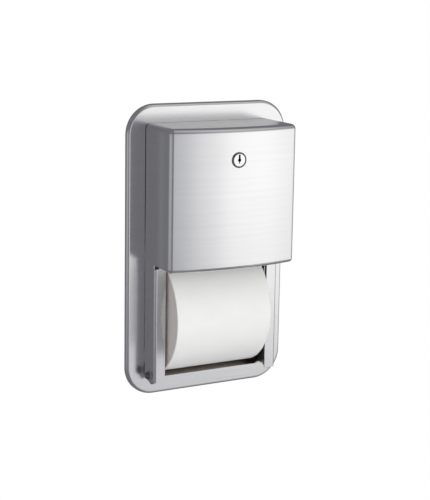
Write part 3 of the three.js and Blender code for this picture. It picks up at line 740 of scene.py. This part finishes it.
def lock_case():
    """Threaded barrel with a domed bezel ring round a sunk face."""
    r = 0.55 * MM
    rounding = []
    for i in range(7):
        angle = (i / 6) * math.pi
        across = (LOCK_HEAD_R + BEZEL_R) / 2 - math.cos(angle) * (LOCK_HEAD_R - BEZEL_R) / 2
        rounding.append((LOCK_FACE_Y + r * (1 - math.sin(angle)), across))
    seat = LOCK_FACE_Y + LOCK_HEAD_T - 0.1 * MM
    threads = []
    pitch = 1 * MM
    y = seat + 1 * MM
    while y < LOCK_BACK_Y - pitch:
        threads.append((y, BARREL_R))
        threads.append((y + pitch / 2, BARREL_R - 0.4 * MM))
        y += pitch
    profile = [
        *rounding, (seat, LOCK_HEAD_R), (seat, BARREL_R), *threads,
        (LOCK_BACK_Y, BARREL_R), (LOCK_BACK_Y, BORE_R),
        (LOCK_FACE_Y + BEZEL_DEPTH, BORE_R), (LOCK_FACE_Y + BEZEL_DEPTH, BEZEL_R),
    ]
    case = turned("lock_case", profile, "Y", (0, 0, LOCK_Z))
    return smoothed(case)


def lock_face():
    """Turning plug with the keyway cut into its face."""
    plug_low, plug_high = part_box("lock_plug")
    face = plug_low.y
    back = LOCK_FACE_Y + BEZEL_DEPTH - 0.2 * MM
    stub_r = PLUG_STUB_R
    stub_y = plug_high.y - PLUG_STUB_LENGTH
    tiny = 0.01 * MM
    profile = [
        (face, tiny), (face, PLUG_FACE_R - 0.35 * MM), (face + 0.1 * MM, PLUG_FACE_R - 0.1 * MM),
        (face + 0.35 * MM, PLUG_FACE_R), (back, PLUG_FACE_R), (back, PLUG_R), (stub_y, PLUG_R),
        (stub_y, stub_r), (plug_high.y, stub_r), (plug_high.y, tiny),
    ]
    plug = turned("lock_face", profile, "Y", (0, 0, LOCK_Z))
    slot_w, slot_h = KEY_SLOT
    tail_w, tail_h = KEY_TAIL
    ahead = face - 1 * MM
    slot = block("slot", -slot_w / 2, slot_w / 2, ahead, face + 6 * MM, LOCK_Z, LOCK_Z + slot_h)
    tail = block("tail", -tail_w / 2, tail_w / 2, ahead, face + 4 * MM, LOCK_Z - tail_h, LOCK_Z)
    bulge = round_bar("bulge", KEY_BULGE_R, (0, ahead, LOCK_Z), "Y", 7 * MM)
    cut(plug, slot, tail, bulge)
    merged_flats(plug)
    mesh = plug.data
    mesh.materials.append(CHROME)
    mesh.materials.append(KEYWAY_PAINTED_SHADE)
    # Faces inside the keyway take the near-black material: painted shade in the slot.
    for polygon in mesh.polygons:
        x, y, z = polygon.center
        inside = math.hypot(x, z - LOCK_Z) < KEYWAY_WITHIN_R
        if inside and face + 0.05 * MM < y < face + 7.2 * MM:
            polygon.material_index = 1
    return smoothed(plug)


placed(lock_case(), "door", "chrome", BEZEL, "lock_body")
placed(lock_face(), "lock_plug_set", "chrome", CHROME, "lock_plug")

# ------------------------------------------------- sheet parts and fasteners

# Every other CAD part keeps its own shape, with its edges broken and its curves shaded smoothly.
FINISHES = [
    ("rivet", "rivet_steel", RIVET, 0.0),
    # The door pins take the dark bezel plate, darker than the rivets: painted shade on the hinge head.
    ("door_pin", "rivet_steel", BEZEL, 0.0),
    ("lever_pin", "rivet_steel", RIVET, 0.0),
    ("outer_washer", "rivet_steel", CHROME, 0.1),
    ("inner_washer", "nylon", NYLON, 0.1),
    ("spindle", "grey_plastic", GREY, 0.2),
    ("lock_strike", "zinc", ZINC, 0.2),
    ("lock_nut", "zinc", ZINC, 0.25),
    ("lock_cam", "zinc", ZINC, 0.2),
    ("cam_screw", "zinc", ZINC, 0.0),
    ("drop_lever", "zinc", ZINC, 0.2),
    ("feeler_rod", "zinc", ZINC, 0.0),
    ("hinge_ear", "cabinet_steel", CABINET, 0.2),
    ("cabinet", "cabinet_steel", CABINET, 0.15),
    ("track_plate", "cabinet_steel", CABINET, 0.2),
]


def finished_copy(node, obj, bevel):
    copy = bpy.data.objects.new(f"{node}_finished", obj.data.copy())
    copy.data.materials.clear()
    while copy.data.uv_layers:
        copy.data.uv_layers.remove(copy.data.uv_layers[0])
    bpy.context.scene.collection.objects.link(copy)
    merged_flats(copy, 0.5)
    return smoothed(copy, bevel)


for node, obj in sorted(frame["nodes"].items()):
    if obj.hide_render:
        continue
    slot, material, bevel = next(row[1:] for row in FINISHES if row[0] in node)
    placed(finished_copy(node, obj, bevel * MM), obj["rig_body"], slot, material, node)

# -------------------------------------------------------- wall, floor, light

WALL_GAP = (80 * MM, 145 * MM)
WALL_HALF_W = 2.5
WALL_TOP_Z = 1.8
WALL_Y = 0.3 * MM
WALL_LEVEL = 1.0
FLOOR_Z = -0.62
FLOOR_HALF = 4
FLOOR_LEVEL = 0.9


def one_sided_glow(name, level):
    """Plain backdrop: an even tone from its front, clear from behind."""
    material = bpy.data.materials.new(name)
    material.use_nodes = True
    tree = material.node_tree
    tree.nodes.clear()
    glow = tree.nodes.new("ShaderNodeEmission")
    glow.inputs["Color"].default_value = (level, level, level, 1)
    clear = tree.nodes.new("ShaderNodeBsdfTransparent")
    side = tree.nodes.new("ShaderNodeNewGeometry")
    mix = tree.nodes.new("ShaderNodeMixShader")
    output = tree.nodes.new("ShaderNodeOutputMaterial")
    tree.links.new(side.outputs["Backfacing"], mix.inputs["Fac"])
    tree.links.new(glow.outputs["Emission"], mix.inputs[1])
    tree.links.new(clear.outputs["BSDF"], mix.inputs[2])
    tree.links.new(mix.outputs["Shader"], output.inputs["Surface"])
    return material


def backdrop_piece(name, points, faces, level):
    mesh = bpy.data.meshes.new(name)
    mesh.from_pydata(points, [], faces)
    mesh.materials.append(one_sided_glow(f"{name}_pale", level))
    piece = bpy.data.objects.new(name, mesh)
    bpy.context.scene.collection.objects.link(piece)
    return piece


def wall():
    """Backdrop at the finished wall surface, cut out for the cabinet."""
    gap_w, gap_h = WALL_GAP
    xs = [-WALL_HALF_W, -gap_w, gap_w, WALL_HALF_W]
    zs = [FLOOR_Z, -gap_h, gap_h, WALL_TOP_Z]
    points = [(x, WALL_Y, z) for z in zs for x in xs]
    faces = []
    for row in range(3):
        for column in range(3):
            if (row, column) != (1, 1):
                i = row * 4 + column
                faces.append((i, i + 1, i + 5, i + 4))
    return backdrop_piece("wall", points, faces, WALL_LEVEL)


def pale_floor():
    h = FLOOR_HALF
    points = [(-h, -h, FLOOR_Z), (h, -h, FLOOR_Z), (h, h, FLOOR_Z), (-h, h, FLOOR_Z)]
    return backdrop_piece("floor", points, [(0, 1, 2, 3)], FLOOR_LEVEL)


def unseen(obj, *rays):
    """Hides a staging piece from some kinds of rays."""
    for ray in rays:
        setattr(obj, f"visible_{ray}", False)
    return obj


backdrop = unseen(wall(), "diffuse", "glossy", "transmission", "shadow")
floor = unseen(pale_floor(), "diffuse", "glossy", "transmission", "shadow")


def softbox(name, azimuth, elevation, distance, size, power):
    """A square area light that faces the origin, azimuth counted from straight ahead towards +X."""
    az = math.radians(azimuth)
    el = math.radians(elevation)
    out = Vector((math.sin(az) * math.cos(el), -math.cos(az) * math.cos(el), math.sin(el)))
    data = bpy.data.lights.new(name, "AREA")
    data.shape = "SQUARE"
    data.size = size
    data.energy = power
    light = bpy.data.objects.new(name, data)
    light.location = distance * out
    light.rotation_euler = out.to_track_quat("Z", "Y").to_euler()
    bpy.context.scene.collection.objects.link(light)
    return unseen(light, "glossy", "camera")


softbox("key", 28, 2, 1.7, 1.3, 10.5)
softbox("fill", -20, -8, 2.0, 1.5, 7.5)
softbox("side", -46, 4, 1.6, 0.6, 5.5)

CARD_Y = -150 * MM
CARD_SPAN_X = (-26 * MM, 70 * MM)
CARD_SPAN_Z = (-142 * MM, -38 * MM)
CARD_LEVEL = 0.2


def grey_card():
    """Studio flag that only reflections see: it shades the door's left post."""
    (x0, x1), (z0, z1) = CARD_SPAN_X, CARD_SPAN_Z
    points = [(x0, CARD_Y, z0), (x1, CARD_Y, z0), (x1, CARD_Y, z1), (x0, CARD_Y, z1)]
    mesh = bpy.data.meshes.new("card")
    mesh.from_pydata(points, [], [(0, 1, 2, 3)])
    card = bpy.data.objects.new("card", mesh)
    bpy.context.scene.collection.objects.link(card)
    material, _, shader = new_material("card_grey", (0.02, 0.02, 0.02), 0.0, 1.0)
    shader.inputs["Emission Color"].default_value = (CARD_LEVEL, CARD_LEVEL, CARD_LEVEL, 1)
    shader.inputs["Emission Strength"].default_value = 1
    mesh.materials.append(material)
    return unseen(card, "camera", "diffuse", "transmission", "shadow")


grey_card()

# Studio surroundings by direction, as the metal reflects them: (degrees, grey level, blue bias).
# HORIZON runs from behind through the left, front and right to behind again, ZENITH from below to above.
HORIZON = [
    (-180, 0.45, 0.03), (-154, 0.17, 0.04), (-125, 0.24, 0.04), (-95, 0.46, 0.03), (-64, 0.44, 0.03),
    (-46, 0.36, 0.03), (-34, 0.18, 0.03), (-22, 0.2, 0.03), (0, 0.62, 0.02), (15, 0.95, 0), (28, 1.23, -0.02),
    (42, 1.26, -0.02), (58, 1.12, -0.02), (73, 0.8, 0), (90, 0.4, 0.03), (118, 0.3, 0.03), (150, 0.32, 0.03),
    (180, 0.45, 0.03),
]
ZENITH = [
    (-90, 0.2, 0.05), (-55, 0.2, 0.05), (-40, 0.4, 0.04), (-29, 0.42, 0.04), (-23, 0.38, 0.05),
    (-18, 0.38, 0.06), (-13.5, 1.0, 0.01), (-5, 1.0, 0.0), (2, 0.7, 0.0), (12, 0.35, 0.03),
    (24, 0.34, 0.04), (40, 0.5, 0.03), (62, 0.42, 0.03), (90, 0.4, 0.03),
]

# No direction is darker than this.
SHADE = (0.17, 0.17, 0.184)


def ramp(tree, value, stops, low, high):
    node = tree.nodes.new("ShaderNodeValToRGB")
    node.color_ramp.interpolation = "EASE"
    elements = node.color_ramp.elements
    while len(elements) > 1:
        elements.remove(elements[-1])
    for index, (place, grey, blue) in enumerate(stops):
        at = (place - low) / (high - low)
        element = elements[0] if index == 0 else elements.new(at)
        element.position = at
        element.color = (grey * (1 - 0.3 * blue), grey, grey * (1 + blue), 1)
    scale = tree.nodes.new("ShaderNodeMapRange")
    scale.inputs["From Min"].default_value = math.radians(low)
    scale.inputs["From Max"].default_value = math.radians(high)
    tree.links.new(value, scale.inputs["Value"])
    tree.links.new(scale.outputs["Result"], node.inputs["Fac"])
    return node.outputs["Color"]


def studio_world():
    world = bpy.data.worlds.new("studio")
    bpy.context.scene.world = world
    world.use_nodes = True
    tree = world.node_tree
    tree.nodes.clear()
    coords = tree.nodes.new("ShaderNodeTexCoord")
    parts = tree.nodes.new("ShaderNodeSeparateXYZ")
    tree.links.new(coords.outputs["Generated"], parts.inputs["Vector"])
    front = tree.nodes.new("ShaderNodeMath")
    front.operation = "MULTIPLY"
    front.inputs[1].default_value = -1
    tree.links.new(parts.outputs["Y"], front.inputs[0])
    around = tree.nodes.new("ShaderNodeMath")
    around.operation = "ARCTAN2"
    tree.links.new(parts.outputs["X"], around.inputs[0])
    tree.links.new(front.outputs["Value"], around.inputs[1])
    height = tree.nodes.new("ShaderNodeMath")
    height.operation = "ARCSINE"
    tree.links.new(parts.outputs["Z"], height.inputs[0])
    horizon = ramp(tree, around.outputs["Value"], HORIZON, -180, 180)
    zenith = ramp(tree, height.outputs["Value"], ZENITH, -90, 90)
    product = tree.nodes.new("ShaderNodeVectorMath")
    product.operation = "MULTIPLY"
    tree.links.new(horizon, product.inputs[0])
    tree.links.new(zenith, product.inputs[1])
    lifted = tree.nodes.new("ShaderNodeVectorMath")
    lifted.operation = "MAXIMUM"
    lifted.inputs[1].default_value = SHADE
    tree.links.new(product.outputs["Vector"], lifted.inputs[0])
    lit = tree.nodes.new("ShaderNodeBackground")
    tree.links.new(lifted.outputs["Vector"], lit.inputs["Color"])
    seen = tree.nodes.new("ShaderNodeBackground")
    seen.inputs["Color"].default_value = (1, 1, 1, 1)
    rays = tree.nodes.new("ShaderNodeLightPath")
    mix = tree.nodes.new("ShaderNodeMixShader")
    output = tree.nodes.new("ShaderNodeOutputWorld")
    tree.links.new(rays.outputs["Is Camera Ray"], mix.inputs["Fac"])
    tree.links.new(lit.outputs["Background"], mix.inputs[1])
    tree.links.new(seen.outputs["Background"], mix.inputs[2])
    tree.links.new(mix.outputs["Shader"], output.inputs["Surface"])


studio_world()
bpy.context.scene.view_settings.view_transform = "Standard"

# ------------------------------------------------------------------- camera

VIEW_AZIMUTH = -28.14
VIEW_ELEVATION = 10.305
VIEW_ROLL = 0.96
VIEW_DISTANCE = 1.4154
VIEW_TARGET = Vector((13.0, 1.1, 38.9)) * MM
LENS = 92.47
FRAME_SHIFT = -0.08


def photo_camera():
    az = math.radians(VIEW_AZIMUTH)
    el = math.radians(VIEW_ELEVATION)
    roll = math.radians(VIEW_ROLL)
    back = Vector((math.sin(az) * math.cos(el), -math.cos(az) * math.cos(el), math.sin(el)))
    level = Vector((0, 0, 1)).cross(back).normalized()
    rise = back.cross(level)
    right = level * math.cos(roll) + rise * math.sin(roll)
    up = back.cross(right)
    data = bpy.data.cameras.new("photo_view")
    data.sensor_fit = "VERTICAL"
    data.sensor_height = 36
    data.lens = LENS
    data.shift_y = FRAME_SHIFT
    camera = bpy.data.objects.new("photo_view", data)
    matrix = Matrix((right, up, back)).transposed().to_4x4()
    matrix.translation = VIEW_TARGET + VIEW_DISTANCE * back
    camera.matrix_world = matrix
    bpy.context.scene.collection.objects.link(camera)
    bpy.context.scene.camera = camera


photo_camera()
